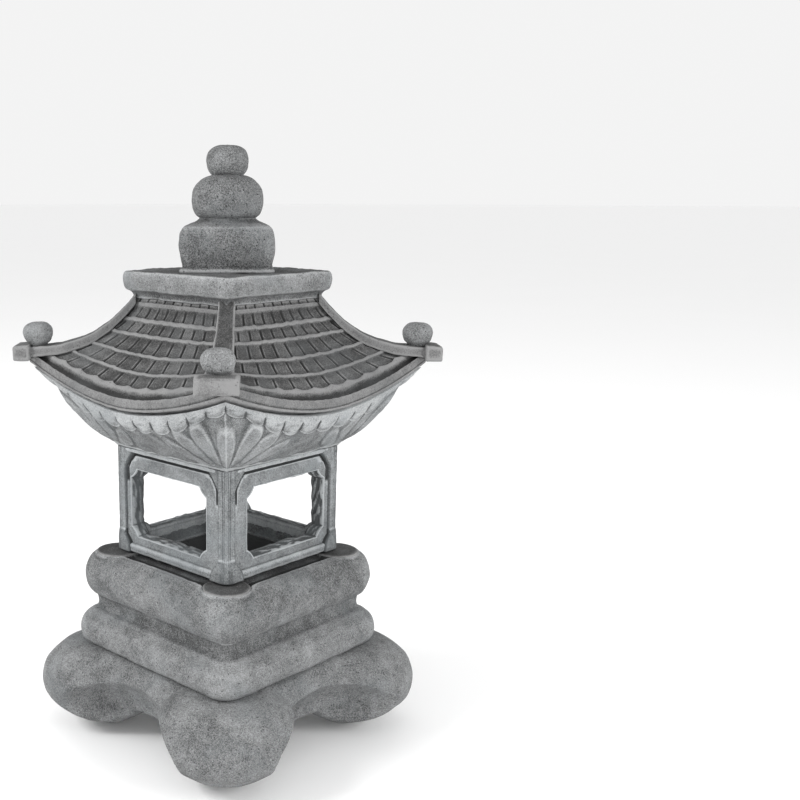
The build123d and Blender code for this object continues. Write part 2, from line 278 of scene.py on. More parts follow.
def join(parts):
    """One set of points and faces from several."""
    points, faces, start = [], [], 0
    for some_points, some_faces in parts:
        points.append(some_points)
        faces.extend(np.asarray(face) + start for face in some_faces)
        start += len(some_points)
    return np.concatenate(points), faces


def turned(points, degrees):
    """Points turned about the upright axis."""
    angle = math.radians(degrees)
    c, s = math.cos(angle), math.sin(angle)
    spin = np.array([[c, -s, 0], [s, c, 0], [0, 0, 1]])
    return np.asarray(points) @ spin.T


# ---------------------------------------------------------------- pedestal

LOBE_REACH, LOBE_RADIUS, LOBE_HALF_HEIGHT = 93.0, 48.0, 37.0
FOOT_HEM = 26.0
WELL_HALF = 38.0


def lobe_floor(distance):
    """Height of a lobe's tapering underside at a distance from its own axis."""
    share = np.arcsin(np.clip(distance / LOBE_RADIUS, 0, 1)) * 2 / math.pi
    return np.clip(LOBE_HALF_HEIGHT * share ** (4 / 3) - 0.6, 0, None)


def lobe_underside(x, y):
    """Height of the underside of the nearest lobe."""
    along = (abs(x) + abs(y)) / math.sqrt(2) - LOBE_REACH
    across = (abs(x) - abs(y)) / math.sqrt(2)
    return lobe_floor(np.hypot(along, across))


def foot_side(angle, height):
    """Distance from the axis to the outer face of the foot stone."""
    quarter = (angle + math.pi / 4) % (math.pi / 2) - math.pi / 4
    swing = math.pi / 4 - abs(quarter)
    side = np.interp(height, [20, 38, 50, 60, 65, FOOT_TOP], [85.5, 88.5, 88, 85.5, 82.8, 79.6])
    corner = 20.0
    flat = side / np.cos(quarter)
    reach = (side - corner) * math.sqrt(2)
    rounded = reach * np.cos(swing) + np.sqrt(np.clip(corner ** 2 - (reach * np.sin(swing)) ** 2, 0, None))
    core = np.where(side * np.tan(abs(quarter)) > side - corner, rounded, flat)
    tall = np.clip((height - LOBE_HALF_HEIGHT) / LOBE_HALF_HEIGHT, -1, 1)
    upper = np.sqrt(np.clip(1 - tall ** 2, 0, 1))
    lower = np.sin(math.pi / 2 * np.clip(height / LOBE_HALF_HEIGHT, 0, 1) ** 0.75)
    radius = LOBE_RADIUS * np.where(tall > 0, upper, lower)
    reach = np.sqrt(np.clip(radius ** 2 - (LOBE_REACH * np.sin(swing)) ** 2, 0, None))
    lobe = LOBE_REACH * np.cos(swing) + reach
    core = core * (0.5 + 0.5 * smooth_step(height, 0.0, FOOT_HEM))
    spread = 4.0 + 23.0 * smooth_step(height, FOOT_TOP + 1, FOOT_TOP - 20)
    blend = 1.0 + spread * smooth_step(height, 0.0, 34.0)
    whole = soft_max(core, lobe, blend) - 0.17 * blend
    # the niche between two lobes: a barrel-shaped scoop centred out beyond the side
    long, radial, out = 54.0, 33.0, 106.5
    c, s = np.cos(quarter), np.sin(quarter)
    a = (c / radial) ** 2 + (s / long) ** 2
    b = -2 * out * c / radial ** 2
    d = (out / radial) ** 2 + ((height - FOOT_HEM) / radial) ** 2 - 1
    root = b ** 2 - 4 * a * d
    scoop = np.where(root > 0, (-b - np.sqrt(np.clip(root, 0, None))) / (2 * a), 1e3)
    return -soft_max(-whole, -scoop, 2.0)


def foot_stone():
    """Foot stone: a waisted block on four round lobes, with a niche between each pair."""
    columns = 528
    fine = np.linspace(0, math.pi / 4, 400)
    crowd = np.cumsum(1 + 3.5 * np.exp(-((fine - 0.46) / 0.12) ** 2))
    swings = np.interp(np.linspace(0, crowd[-1], columns // 8, endpoint=False), crowd - crowd[0], fine)
    eighth = np.concatenate([swings, math.pi / 2 - fine[-1:], math.pi / 2 - swings[:0:-1]])
    angle = np.concatenate([eighth + math.pi / 4 + math.radians(turn) for turn in TURNS])
    swing = math.pi / 4 - abs((angle + math.pi / 4) % (math.pi / 2) - math.pi / 4)
    hem = -soft_max(-lobe_floor(LOBE_REACH * np.sin(swing)), -FOOT_HEM, 3.0) + 0.9
    low = np.clip(hem, 0.6, FOOT_HEM)
    well = np.column_stack([WELL_HALF * np.cos(angle), WELL_HALF * np.sin(angle)])
    rows = [np.column_stack([well, np.full(columns, FOOT_TOP)])]
    for k in range(56):
        part = k / 55
        height = FOOT_TOP + (low - FOOT_TOP) * part ** 0.9
        side = foot_side(angle, height)
        rows.append(np.column_stack([side * np.cos(angle), side * np.sin(angle), height]))
    rim = foot_side(angle, low)
    inner = 34.0
    for k in range(1, 34):
        reach = rim + (inner - rim) * k / 33
        x, y = reach * np.cos(angle), reach * np.sin(angle)
        under = -soft_max(-lobe_underside(x, y), -FOOT_HEM, 3.0)
        rows.append(np.column_stack([x, y, np.clip(under, 0.0, FOOT_HEM)]))
    for height in (40.0, 58.0):
        rows.append(np.column_stack([inner * np.cos(angle), inner * np.sin(angle), np.full(columns, height)]))
    for height in (58.2, 64.0):
        rows.append(np.column_stack([well, np.full(columns, height)]))
    points = np.concatenate(rows)
    faces = grid_faces(len(rows), columns, True) + closing_faces(len(rows), columns)
    obj = solid_object("foot_block", points, faces, "pedestal", ["foot_stone"], "pitted_stone")
    points, _, edges = mesh_arrays(obj.data)
    for _ in range(5):
        points = 0.5 * points + 0.5 * neighbour_mean(points, edges)
    obj.data.vertices.foreach_set("co", (points * MM).ravel())
    weather(obj, depth=0.5, size=18.0, seed=11)
    points, _, _ = mesh_arrays(obj.data)
    store(obj.data, "wear", np.full(len(points), 0.02))
    points[:, 2] = np.clip(points[:, 2], GROUND, None)
    obj.data.vertices.foreach_set("co", (points * MM).ravel())


def step_stone():
    """Step stone: a rounded step under a hollow neck."""
    outline = curve_through([
        (80.9, FOOT_TOP - 0.4), (83.6, 72.0), (84.4, 78.0), (82.4, 85.5), (77.0, 91.3), (72.3, 93.6),
    ])
    neck = curve_through([(71.7, 93.9), (70.2, 96.5), (70.0, 99.5), (71.0, 103.2), (73.0, STEP_TOP + 1.2)])
    whole = np.vstack([[(WELL_HALF, FOOT_TOP)], outline, neck, [(WELL_HALF, STEP_TOP)]])
    points, faces = square_solid(fair_profile(whole, 0.9, 1), 66.0, hollow=True)
    obj = solid_object("step_block", points, faces, "pedestal", ["step_stone"], "pitted_stone")
    weather(obj, depth=0.4, size=14.0, seed=21, chips=0.5)


def cushion_stone():
    """Cushion stone: a swelling course with a rim that has a pale band along its top edge, a groove and the
    mouth of the well, the groove and the well darkened with painted shade.
    """
    bulge = curve_through([
        (71.6, STEP_TOP - 0.2), (76.6, 107.3), (80.0, 113.0), (81.3, 120.0), (80.2, 127.5),
        (76.6, 134.2), (71.6, 138.2), (67.6, CUSHION_TOP + 0.2),
    ])
    rim = [(66.4, CUSHION_TOP + 0.1), (65.4, 138.0), (64.6, 135.8), (58.0, 135.4), (50.0, 136.5)]
    well = [(46.0, 137.0), (43.5, 134.0), (39.5, 124.0), (36.5, 112.0), (36.0, STEP_TOP)]
    well += [(WELL_HALF + 3, STEP_TOP)]
    points, faces = square_solid(fair_profile(np.vstack([bulge, rim, well]), 0.9, 1), 62.0, hollow=True)
    # flats under the four corner pads
    for turn in TURNS:
        angle = math.radians(turn + 45)
        centre = np.array([math.cos(angle), math.sin(angle)]) * BOX_HALF * math.sqrt(2)
        near = np.hypot(*(points[:, :2] - centre).T)
        flat = 1 - smooth_step(near, 16.0, 18.5)
        high = points[:, 2] > 127
        settled = points[:, 2] + (CUSHION_TOP - 1.2 - points[:, 2]) * flat
        points[:, 2] = np.where(high, settled, points[:, 2])
    half = np.maximum(abs(points[:, 0]), abs(points[:, 1]))
    inside = (half < 66.6) & (points[:, 2] < CUSHION_TOP - 0.4)
    # painted shade: inside the rim the groove and the well are painted darkest and the flat between them less
    # dark; outside, a pale band runs along the top edge
    recess_shade = np.where((half < 57.5) & (half > 45.0), -0.6, -1.7)
    outer = -0.25 + 0.7 * np.exp(-((half - 67.6) / 1.4) ** 2) * (points[:, 2] > 137)
    tone = np.where(inside, recess_shade, outer)
    obj = solid_object("cushion_block", points, faces, "pedestal", ["cushion_stone"], "pitted_stone", tone)
    weather(obj, depth=0.45, size=12.0, seed=31, chips=0.5)


def corner_pad(number, turn):
    """Flat round pad under a corner post."""
    angle = math.radians(turn + 45)
    centre = np.array([math.cos(angle), math.sin(angle)]) * BOX_HALF * math.sqrt(2)
    low, high = CUSHION_TOP - 6, CUSHION_TOP
    outline = fair_profile([(0.2, low), (15.9, low), (16.4, high - 0.6), (15.6, high), (0.2, high)], 0.6, 1)
    columns = 72
    swing = np.linspace(0, 2 * math.pi, columns, endpoint=False)
    wobble = 1 + 0.012 * np.sin(3 * swing + number) + 0.008 * np.sin(7 * swing + 2 * number)
    rows = []
    for radius, height in outline:
        x = centre[0] + radius * wobble * np.cos(swing)
        y = centre[1] + radius * wobble * np.sin(swing)
        rows.append(np.column_stack([x, y, np.full(columns, height)]))
    points = np.concatenate(rows)
    faces = grid_faces(len(rows), columns, True) + end_caps(len(rows), columns)
    # the side of the pad is lighter as a painted highlight, and its top face darker
    tone = np.where(np.repeat(outline[:, 1], columns) > CUSHION_TOP - 0.3, -0.6, 0.6)
    obj = solid_object(f"corner_pad_{number}", points, faces, "pedestal", [], "tile_stone", tone)
    weather(obj, depth=0.12, size=5.0, seed=40 + number)


# ---------------------------------------------------------------- fire box

PANEL_SINK = 1.9
WALL = BOX_HALF - 45.0
WINDOW_SHIFT = 4.0
LINTEL_BOTTOM = BOX_TOP - 3.0
POST_BOTTOM = CUSHION_TOP + 1.4
POST_HALF = 9.0
RING_INSIDE = 45.2


def post_reach(height):
    """Half width of a corner post on each face: a foot below, a bracket under the lintel."""
    foot = np.sqrt(np.clip(15.5 ** 2 - (height - POST_BOTTOM) ** 2, 0, None))
    below = np.clip((LINTEL_BOTTOM + 1.0 - height) / 13.0, 0, 1)
    bracket = POST_HALF + 9.5 * (1 - below) ** 1.25
    return max(POST_HALF, foot, bracket)


def corner_post(number, turn):
    """Corner post with a bead on its arris, a swelling half-round foot and a bracket on each face."""
    rows, light = [], []
    shares = np.linspace(0, 1, 30) ** 0.8
    for height in np.linspace(POST_BOTTOM, BOX_TOP, 118):
        reach = post_reach(height)
        rise = (height - POST_BOTTOM) / 15.5
        swell = 2.2 * math.sqrt(max(0.0, 1 - rise ** 2))
        row, row_light = [], []
        for side in (-1, 1):
            half = []
            for share in shares:
                place = share * reach
                rounding = 2.2
                if place < rounding:
                    swing = math.pi / 4 * (1 - place / rounding)
                    out = BOX_HALF - rounding + rounding * math.cos(swing)
                    along = BOX_HALF - rounding + rounding * math.sin(swing)
                else:
                    out, along = BOX_HALF, BOX_HALF - place
                near_edge = smooth_step(place, reach - 0.9, reach)
                groove = 0.55 * math.exp(-((place - 3.1) / 0.55) ** 2) * (rise > 0.95)
                flute = smooth_step(place, 3.6, 5.5) * (1 - smooth_step(place, 7.0, 8.4))
                dish = 0.25 * flute * (rise > 0.95)
                fade = smooth_step(place, 0.0, 4.0) if swell else 0.0
                lifted = swell * (0.35 + 0.65 * fade)
                eased = (0.7 + 1.6 * (swell > 0.5)) * near_edge
                beside = lifted * (1 - min(place / rounding, 1))
                half.append((out + lifted - groove - dish - eased, along + beside))
                # painted shade along the post's edges, much darker round the foot, a painted highlight on the
                # arris bead and painted shade in the grooves
                edge_shade = (-0.3 if rise > 1.05 else -2.2) * near_edge
                row_light.append(edge_shade + 0.5 * (place < 1.4) - 0.8 * (groove > 0.25))
            # a thin line of painted shade where the post meets the sunk panel
            half.append((BOX_HALF - PANEL_SINK - 1.2, BOX_HALF - reach - 0.3))
            row_light.append(-1.0)
            row.append(half if side > 0 else half[::-1])
            if side < 0:
                row_light = row_light[::-1]
        ring = [(along, out) for out, along in row[0]] + row[1][1:]
        inner, edge = BOX_HALF - WALL, BOX_HALF - reach - 0.3
        ring += [(inner, edge), (inner, inner), (edge, inner)]
        first = len(row[0])
        row_light = row_light[:first] + row_light[first + 1:] + [0, 0, 0]
        rows.append(np.array([(x, y, height) for x, y in ring]))
        # the bottom row is painted dark as the shade under the post
        light.append([-2.0 if rise < 0.03 else tone for tone in row_light])
    columns = len(rows[0])
    points = np.concatenate(rows)
    faces = grid_faces(len(rows), columns, True) + end_caps(len(rows), columns)
    obj = solid_object(f"post_{number}", turned(points, turn), faces, "fire_box", [f"corner_post_{number}"],
                       "smooth_stone", np.concatenate(light))
    weather(obj, depth=0.16, size=6.0, seed=50 + number, chips=0.25)


def notched_outline(half_width, half_height, notch, count):
    """Rectangle with a notch across each corner, as a loop with count points a quarter."""
    quarter = []
    straight = count // 3
    for place in np.linspace(0, half_height - notch, straight, endpoint=False):
        quarter.append((half_width, place))
    for share in np.linspace(0, 1, count - 2 * straight, endpoint=False):
        inward = 0.4 * math.sin(share * math.pi / 2) + 0.6 * share
        down = 0.4 * math.cos(share * math.pi / 2) + 0.6 * (1 - share)
        quarter.append((half_width - notch * inward, half_height - notch * down))
    for place in np.linspace(half_width - notch, 0, straight, endpoint=False):
        quarter.append((place, half_height))
    quarter = np.array(quarter)
    loop = [quarter, quarter[:0:-1] * (-1, 1), -quarter, quarter[:0:-1] * (1, -1)]
    return np.concatenate(loop)


def window_panel(number, turn):
    """Sunk wall panel round a notched window, with a painted highlight on its rim, a rough, hand-cut reveal
    darkened by painted shade and a painted shadow under the lintel and beside the posts.
    """
    shift = WINDOW_SHIFT if turn in (0, 180) else -WINDOW_SHIFT
    low, high = CUSHION_TOP + 5.0, LINTEL_BOTTOM + 1.0
    window_level, half_width, half_height = 178.0, 40.0, 25.5
    count = 66
    hole = notched_outline(half_width, half_height, 7.0, count)
    hole[:, 0] += shift
    hole[:, 1] += window_level
    square = notched_outline(49.0, (high - low) / 2, 0.01, count)
    square[:, 1] += (high + low) / 2
    face = BOX_HALF - PANEL_SINK
    centre = np.array([shift, window_level])
    rows, light = [], []

    def ring(flat, out, tone):
        rows.append(np.column_stack([np.full(len(flat), out), flat[:, 0], flat[:, 1]]))
        light.append(np.full(len(flat), tone))

    ring(square, BOX_HALF - WALL + 0.4, 0)
    # painted shade on the panel's edge where it steps back from the posts and the lintel
    ring(square, face - 0.6, -0.4)
    for share in np.linspace(0, 0.95, 40):
        ring(square + (hole - square) * share, face - 0.5 * (share == 0), 0.0)
    grow = hole - centre
    grow /= np.linalg.norm(grow, axis=1)[:, None]
    # painted highlight on the rim of the window
    ring(hole - grow * -0.5, face + 0.25, 0.2)
    ring(hole, face + 0.1, 0.5)
    ring(hole - grow * 0.35, face - 0.7, 0.4)
    rough = np.column_stack([hole, np.zeros(len(hole))])
    # the reveal darkens with depth as painted shade
    for k in range(1, 9):
        flat = hole - grow * (0.5 + 1.3 * value_noise(rough + k * 1.7, 5.0, 60 + number)[:, None] + 0.12 * k)
        ring(flat, face - 0.7 - (WALL - PANEL_SINK - 1.2) * k / 8, -0.3 - 0.14 * k)
    # the inside face of the wall is painted darker as shade
    for share in (0.05, 0.2, 0.5, 0.8):
        ring(hole + (square - hole) * share, BOX_HALF - WALL + 0.2, -0.55)
    points, tones = np.concatenate(rows), np.concatenate(light)
    to_post = BOX_HALF - np.array([post_reach(z) for z in points[:, 2]]) - abs(points[:, 1])
    # painted shadow: a dark line under the lintel and beside the posts, in a shallow groove sunk there
    to_edge = np.minimum(to_post - 1.3, LINTEL_BOTTOM - 0.6 - points[:, 2])
    undercut_and_shadow = (1 - smooth_step(to_edge, 1.3, 1.9)) * smooth_step(points[:, 2], 192, 199)
    undercut_and_shadow *= points[:, 0] > face - 1.5
    points[:, 0] -= 1.6 * undercut_and_shadow
    tones -= 5.0 * undercut_and_shadow
    columns = len(hole)
    faces = grid_faces(len(rows), columns, True) + closing_faces(len(rows), columns)
    obj = solid_object(f"panel_{number}", turned(points, turn), faces, "fire_box", [f"window_panel_{number}"],
                       "smooth_stone", tones)
    weather(obj, depth=0.14, size=7.0, seed=60 + number, chips=0.2)


def ring_stone(name, node, outline, corner, depth, seed):
    """Square ring from a closed profile of (half side, level), with its inside hollow."""
    profile = fair_profile(outline + outline[:1], 0.7, 1)[:-1]
    points, faces = square_solid(profile, corner, straight=110, bend=10, hollow=True)
    across, along = np.sort(abs(points[:, :2]), axis=1).T
    hidden = (across > 50.5) & (points[:, 2] < CUSHION_TOP + 9)
    # painted shade: darkest on the sill under the corner posts, darker on the inner part of the ring
    tone = np.where(hidden, -2.2, np.where(along < 57.0, -0.7, -0.15))
    obj = solid_object(name, points, faces, "fire_box", [node], "smooth_stone", tone)
    weather(obj, depth=depth, size=7.0, seed=seed, chips=0.3)


def sill_ring():
    """Ledge under the panels."""
    low, high = CUSHION_TOP + 1.6, CUSHION_TOP + 8.0
    outline = [(RING_INSIDE, low - 4.0), (57.6, low), (58.5, low + 1.0), (58.6, high - 1.8)]
    outline += [(57.9, high - 0.4), (56.2, high), (RING_INSIDE, high)]
    ring_stone("sill_ledge", "sill_ring", outline, 45.0, 0.2, 71)


def lintel_ring():
    """Course over the panels."""
    outline = [(RING_INSIDE, LINTEL_BOTTOM), (57.2, LINTEL_BOTTOM), (57.7, LINTEL_BOTTOM + 0.6)]
    outline += [(57.7, BOX_TOP), (RING_INSIDE, BOX_TOP)]
    ring_stone("lintel_course", "lintel_ring", outline, 45.0, 0.12, 72)


# ---------------------------------------------------------------- roof

NECK_HALF = 47.5
NECK_LEVEL = 321.0
EAVE_LEVEL = 265.0
EAVE_LIFT = 21.0
TILES = 10.5
TILE_START = 45.6
COURSE_ENDS = (47.9, 54.0, 61.5, 72.3, 83.2, 92.5)
KNOB_REACH = 135.5


def eave_lift(along, out):
    """How far a point of the roof is raised, by its place along the side and out from the centre."""
    reach = np.clip((out - NECK_HALF) / (EAVE_HALF - NECK_HALF), 0, 1.1)
    return EAVE_LIFT * reach * (abs(along) / EAVE_HALF) ** 1.8


def tile_level(out):
    """Level of the tiles in the middle of a side."""
    reach = np.clip((out - NECK_HALF) / (EAVE_HALF - NECK_HALF), 0, 1)
    steep = 2.6 * np.clip(NECK_HALF - out, 0, None)
    return NECK_LEVEL - (NECK_LEVEL - EAVE_LEVEL) * reach - 6.0 * np.sin(math.pi * reach ** 0.6) + steep


def roof_ring(row_at, count, columns):
    """Four-sided ring of rows: row_at(k, share) gives out, along, level and tone for a side."""
    share = np.linspace(-1, 1, columns, endpoint=False)
    rows, tones = [], []
    for k in range(count):
        row, tone = [], []
        for side, turn in enumerate(TURNS):
            out, along, height, light = row_at(k, share, side)
            row.append(turned(np.column_stack([out, along, height]), turn))
            tone.append(light)
        rows.append(np.concatenate(row))
        tones.append(np.concatenate(tone))
    return np.concatenate(rows), np.concatenate(tones), columns * 4


def tile_rows():
    """(course, part of it) for every row of the tiled slope."""
    rows = []
    for course, (upper, lower) in enumerate(zip((TILE_START,) + COURSE_ENDS, COURSE_ENDS)):
        band = min(1.8 / (lower - upper), 0.4)
        parts = [0.02, 0.12] + [0.12 + (0.86 - band) * k / 5 for k in range(1, 6)]
        parts += [1 - band * 0.8, 1 - band * 0.5, 1 - band * 0.25, 1.0]
        rows += [(course, upper, lower, band, part) for part in parts]
    return rows


def roof_stone():
    """Roof stone: six courses of tiles on each side, a gutter and a rounded eave."""
    slope = tile_rows()
    under = EAVE_LEVEL - 9.0
    # Eave rows: reach out, drop below the gutter top, and painted light and shade, darker in the gutter and
    # on the fascia and underside, lighter on the rounded lips
    eave = [
        (93.8, -1.2, 0.5), (94.3, -3.4, -0.2), (94.9, -5.0, -0.9), (96.2, -6.2, -0.8), (97.8, -6.9, -0.7),
        (98.9, -6.9, -0.8), (99.5, -6.2, -0.4), (100.0, -5.2, 0.25), (100.7, -5.4, 0.1), (101.2, -6.6, -0.25),
        (101.4, -8.2, -0.35), (101.2, -10.0, -0.35), (100.6, -11.4, -0.4), (100.9, -12.2, 0.45),
        (100.3, -13.2, 0.3), (97.5, -13.4, -0.6),
    ]
    head = [(20.0, 326.6), (45.0, 326.6)]
    count = len(head) + len(slope) + len(eave) + 2
    gutter_top = tile_level(COURSE_ENDS[-1])

    def row_at(k, share, side):
        if k < len(head):
            out = np.full(len(share), head[k][0])
            return out, share * out, np.full(len(share), head[k][1]), np.zeros(len(share))
        k -= len(head)
        if k < len(slope):
            course, upper, lower, width, part = slope[k]
            place = (share * 0.5 + 0.5) * TILES + 0.37 * (course % 2) + 0.13 * side
            within = place - np.floor(place)
            tile = np.floor(place).astype(int)
            key = np.stack([tile, np.full_like(tile, course), np.full_like(tile, side)], -1)
            scallop = (1.9 if course == 5 else 0.5) * (1 - (2 * within - 1) ** 2)
            uneven = 0.6 * (lattice(key, 5) - 0.5)
            out = upper + (lower - upper + (scallop + uneven) * (course > 0)) * part
            along = share * out
            gap = np.minimum(within, 1 - within) * 2 * out / TILES
            upstream = 1 - smooth_step(part, 1 - width * 1.1, 1 - width * 0.75)
            joint = np.exp(-(gap / 0.8) ** 2) * upstream
            beside = np.exp(-((gap - 1.7) / 0.7) ** 2) * upstream
            band = 1 - upstream
            tilt = 0.5 * (lattice(key, 9) - 0.5) * (1 - band)
            height = tile_level(out) + eave_lift(along, out)
            height += 0.5 * part + 1.3 * band - 1.2 * joint + 0.25 * beside + tilt
            shade = (0.4 * (lattice(key, 3) - 0.5) - 0.12) * (1 - band)
            # dark joints, a painted highlight beside each joint, paler bands at the lower edge of each course
            # and a random tone for each tile
            tone = 0.5 * band - 2.3 * joint + 0.2 * beside + shade
            return out, along, height, tone
        k -= len(slope)
        if k < len(eave):
            reach, drop, light = eave[k]
            out = np.full(len(share), reach)
            place = (share * 0.5 + 0.5) * TILES + 0.37 + 0.13 * side
            ripple = 0.7 * abs(np.sin(place * math.pi)) * (reach < 94.5)
            height = gutter_top + drop + 0.6 + eave_lift(share * out, out)
            return out + ripple, share * (out + ripple), height, np.full(len(share), light)
        out = np.full(len(share), (90.0, 20.0)[k - len(eave)])
        height = under + eave_lift(share * out, out)
        return out, share * out, height, np.zeros(len(share))

    points, tones, columns = roof_ring(row_at, count, 290)
    faces = grid_faces(count, columns, True)
    last = (count - 1) * columns
    faces += [list(range(columns)), [last + j for j in range(columns)][::-1]]
    faces = [face[::-1] for face in faces]
    obj = solid_object("tiled_roof", points, faces, "roof", ["roof_stone"], "tile_stone", tones)
    weather(obj, depth=0.22, size=4.0, seed=81, chips=0.25)


# Leaves: direction and half width in degrees, length and height
LEAVES = ((0, 13, 45, 2.2), (27, 18, 41, 2.6), (60, 19, 40, 2.3), (92, 14, 44, 1.6))


def leaf_relief(out, along):
    """Height of the carved leaves that fan out from the corners of the fire box."""
    dx = out - BOX_HALF + 3.0
    dy = abs(along) - BOX_HALF + 3.0
    angle = np.degrees(np.arctan2(dx - dy, dx + dy))
    reach = np.hypot(dx, dy)
    relief = np.zeros(len(out))
    for centre, width, length, high in LEAVES:
        swirl = angle - centre - 9 * np.sin(reach / 15.0) * (centre > 0)
        off = swirl / width
        tip = length * (1 - 0.35 * off ** 2)
        taper = smooth_step(reach, 6.0, 24.0) * (1 - smooth_step(reach, tip - 6, tip + 1))
        dome = np.clip(1 - off ** 2, 0, 1) ** 0.6 * taper
        relief = np.maximum(relief, dome * high)
    return relief


def soffit_stone():
    """Soffit stone: hanging cloud lobes, carved leaves at each corner and a spigot underneath."""
    lobes = 11
    skirt = (0.0, 0.08, 0.2, 0.35, 0.5, 0.64, 0.76, 0.86, 0.93, 0.98, 1.0)
    slope = np.linspace(0, 1, 44)
    under = ((57.0, 0.0), (45.0, 0.0), (44.3, 0.3), (44.2, 2.7), (43.6, 3.0))
    under += ((30.0, 3.0), (15.0, 3.0), (1.0, 3.0))
    count = len(skirt) + len(slope) + len(under)

    def row_at(k, share, side):
        place = (share * 0.5 + 0.5) * lobes
        within = place - np.floor(place)
        arc = np.sqrt(np.clip(1 - (2 * within - 1) ** 2, 0, 1))
        corner = smooth_step(abs(share), 0.45, 0.85)
        hang = 8.5 * (1 - 0.72 * corner) + 4.5 * arc * (1 - 0.35 * corner)
        if k < len(skirt):
            part = skirt[k]
            low = smooth_step(part, 0.25, 0.75)
            dome = 1.3 * arc * low * math.sin(math.pi * min(part, 1.0) ** 0.8)
            swirl = 0.35 * np.sin(7.0 * within + 5.0 * part + 2.1 * np.floor(place)) * low
            out = 98.4 - 6.5 * part ** 1.4 + dome + swirl
            along = share * out
            height = EAVE_LEVEL - 8.8 - hang * part + eave_lift(along, out + 2.0)
            # painted shade: darker overall, darkest in the seams between the lobes, with a painted highlight
            # on the lower part of each lobe
            seam_shade = np.exp(-((arc - 0.05) / 0.22) ** 2)
            return out, along, height, -0.5 - 0.75 * seam_shade * low + 0.15 * arc * part
        k -= len(skirt)
        if k < len(slope):
            part = slope[k]
            start = 91.0
            out = start + (BOX_HALF + 0.8 - start) * part + np.zeros(len(share))
            along = share * out
            top = EAVE_LEVEL - 18.0 + 6.5 * corner - BOX_TOP
            base = BOX_TOP + 0.4 + top * (1 - part) ** (1.05 + 0.25 * corner)
            lip = 1.6 * smooth_step(part, 0.93, 1.0)
            fade = smooth_step(part, 0.0, 0.06)
            relief = leaf_relief(out, along) * fade
            curl = np.sin(0.33 * along + 3.0 * np.sin(0.14 * out + 0.05 * along))
            scroll = 0.35 * curl * fade * (relief < 0.2)
            height = base + eave_lift(along, out + 2.0) - 0.55 * relief - scroll
            out = out + 0.45 * relief + lip * 0.3
            # a painted highlight on the raised leaves and on the lip
            return out, share * out, height, np.clip(0.07 * relief - 0.1 + 0.3 * lip / 1.6, -0.3, 0.4)
        reach, drop = under[k - len(slope)]
        out = np.full(len(share), reach)
        return out, share * out, np.full(len(share), BOX_TOP - drop), np.zeros(len(share))

    points, tones, columns = roof_ring(row_at, count, 260)
    faces = grid_faces(count, columns, True)
    last = (count - 1) * columns
    faces += [[last + j for j in range(columns)][::-1]]
    top = np.array([[0.0, 0.0, EAVE_LEVEL - 9.0]])
    points = np.concatenate([points, top])
    tones = np.append(tones, 0.0)
    faces += [[(j + 1) % columns, j, len(points) - 1] for j in range(columns)]
    faces = [face[::-1] for face in faces]
    obj = solid_object("carved_soffit", points, faces, "roof", ["soffit_stone"], "carved_stone", tones)
    weather(obj, depth=0.3, size=5.0, seed=91, chips=0.3)


def lean(points, number):
    """Ridge 4 and its knob, which lean to one side towards the eave."""
    points = np.array(points)
    if number == 4:
        points[:, 1] -= 5.2 * np.clip((points[:, 0] - 66.0) / 81.0, 0, 1)
    return points


def hip_ridge(number, turn):
    """Hip ridge: a curved crest that widens outwards, with a plain block at its end."""
    crest = curve_through([
        (64.5, 330.0), (70.0, 323.4), (74.0, 319.3), (79.5, 314.0), (86.0, 308.6), (99.0, 300.6),
        (116.0, 295.0), (124.0, 293.6), (139.6, 292.3),
    ], 0.8)
    stations = [(r, z, 5.5 + 3.2 * smooth_step(r, 64.0, 132.0), z - 7.5, 0.5) for r, z in crest]
    stations += [(140.0, 293.4, 12.8, 283.4, 0.3), (140.6, 294.1, 13.5, 282.6, 0.1)]
    stations += [(r, 294.1 - 0.08 * (r - 141), 13.5, 282.6, 0.1) for r in np.linspace(141.4, 150.6, 14)]
    stations += [(151.4, 293.0, 13.3, 282.8, 0.0), (151.8, 292.2, 12.6, 283.5, 0.0)]
    across = np.linspace(-0.93, 0.93, 34)
    rows, light = [], []
    for r, top, half, bottom, crown in stations:
        rounded = crown * (1 - across ** 2) - 0.25 * smooth_step(abs(across), 0.6, 0.93)
        upper = np.column_stack([across * half, top - 0.5 + rounded])
        side = np.linspace(top - 1.1, bottom, 9)
        right = np.column_stack([np.full(9, half), side])
        lower = np.column_stack([np.linspace(half, -half, 10)[1:-1], np.full(8, bottom)])
        left = np.column_stack([np.full(9, -half), side[::-1]])
        ring = np.vstack([upper, right, lower, left])
        rows.append(np.column_stack([np.full(len(ring), r), ring]))
        # painted highlights on the crest's edges and on the sides; the top of the crest is darker than the
        # end block
        edge = smooth_step(abs(across), 0.72, 0.9)
        fade = -0.45 if r < 139.8 else -0.1
        light.append(np.concatenate([fade + 1.2 * edge, np.full(9, 0.75), np.zeros(8), np.full(9, 0.75)]))
    columns = len(rows[0])
    points = np.concatenate(rows)
    faces = grid_faces(len(rows), columns, True) + end_caps(len(rows), columns)
    faces = [face[::-1] for face in faces]
    placed = turned(lean(points, number), turn + 45)
    obj = solid_object(f"ridge_{number}", placed, faces, "roof", [f"hip_ridge_{number}"],
                       "tile_stone", np.concatenate(light))
    weather(obj, depth=0.2, size=4.5, seed=100 + number, chips=0.35)


